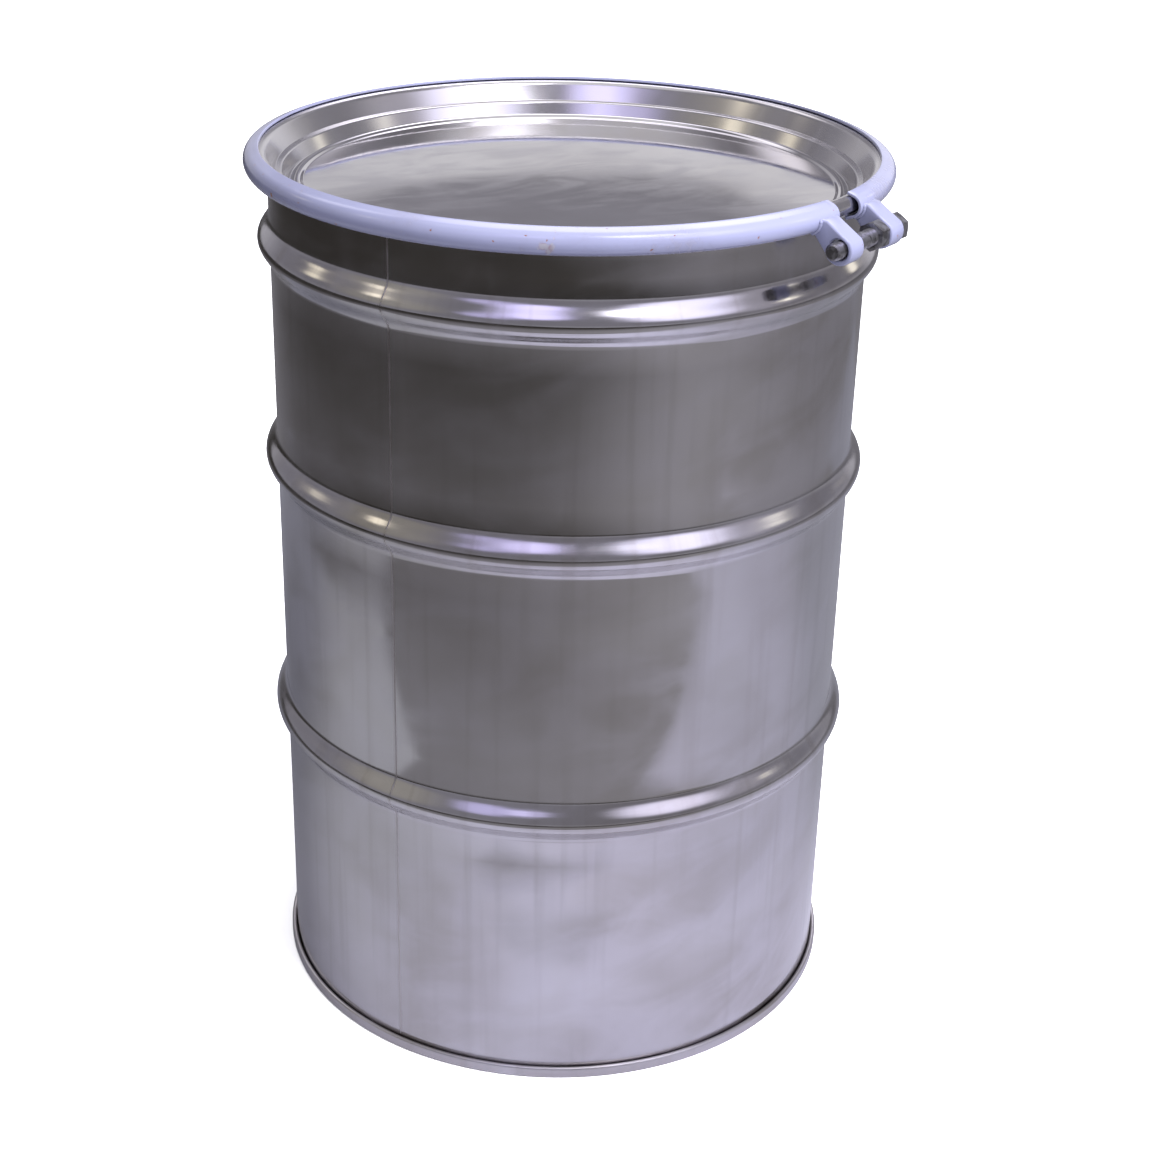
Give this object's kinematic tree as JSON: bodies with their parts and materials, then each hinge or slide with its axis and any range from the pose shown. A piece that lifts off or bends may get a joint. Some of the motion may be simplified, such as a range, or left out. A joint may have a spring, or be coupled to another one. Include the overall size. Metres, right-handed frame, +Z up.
{
  "type": "open-head steel drum",
  "caption": "Upright cylindrical steel drum with rolled hoops, a recessed lift-off lid with a gasket, and a bolted C-section closing ring.",
  "frame": {"origin": "on the drum's axis, at the plane the bottom seam stands on", "axes": "+Z up along the drum's axis; the closing ring's gap and bolt are at 45 degrees between +X and -Y"},
  "size_m": [0.617, 0.617, 0.8763],
  "materials": {
    "stainless": "rolled stainless sheet, cleaned and scuffed",
    "sealant": "cured seaming compound",
    "gasket": "black sponge rubber",
    "ring_enamel": "pale grey-lilac enamel with worn spots",
    "zinc": "dull zinc-plated steel"
  },
  "bodies": {
    "drum": {"drum_shell": "stainless", "bottom_head": "stainless", "seam_sealant": "sealant"},
    "lid": {"lid": "stainless", "lid_gasket": "gasket"},
    "ring_plain_half": {"ring_plain_side": "ring_enamel", "lug_plain": "ring_enamel"},
    "ring_threaded_half": {"ring_threaded_side": "ring_enamel", "lug_threaded": "ring_enamel"},
    "bolt": {"closing_bolt": "zinc"},
    "nut": {"jam_nut": "zinc"}
  },
  "joints": [
    {"name": "ring_lift", "type": "slide", "parent": "drum", "child": "ring_plain_half", "axis": [0, 0, 1], "range_m": [0, 0.6]},
    {"name": "lid_lift", "type": "slide", "parent": "drum", "child": "lid", "axis": [0, 0, 1], "range_m": [0, 0.24]},
    {"name": "ring_open", "type": "hinge", "parent": "ring_plain_half", "child": "ring_threaded_half", "pos_m": [-0.21816, 0.21816, 0.8635], "axis": [0, 0, -1], "range_deg": [0, 1.78]},
    {"name": "bolt_turn", "type": "hinge", "parent": "ring_plain_half", "child": "bolt", "pos_m": [0.2291, -0.2291, 0.8425], "axis": [0.7071, 0.7071, 0], "range_deg": [0, 3060]},
    {"name": "nut_run", "type": "slide", "parent": "bolt", "child": "nut", "axis": [-0.7071, -0.7071, 0], "range_m": [0, 0.03]}
  ],
  "couplings": [
    {"joint": "lid_lift", "follows": "ring_lift", "ratio": 0.4},
    {"joint": "ring_open", "follows": "bolt_turn", "ratio": 0.000581}
  ]
}
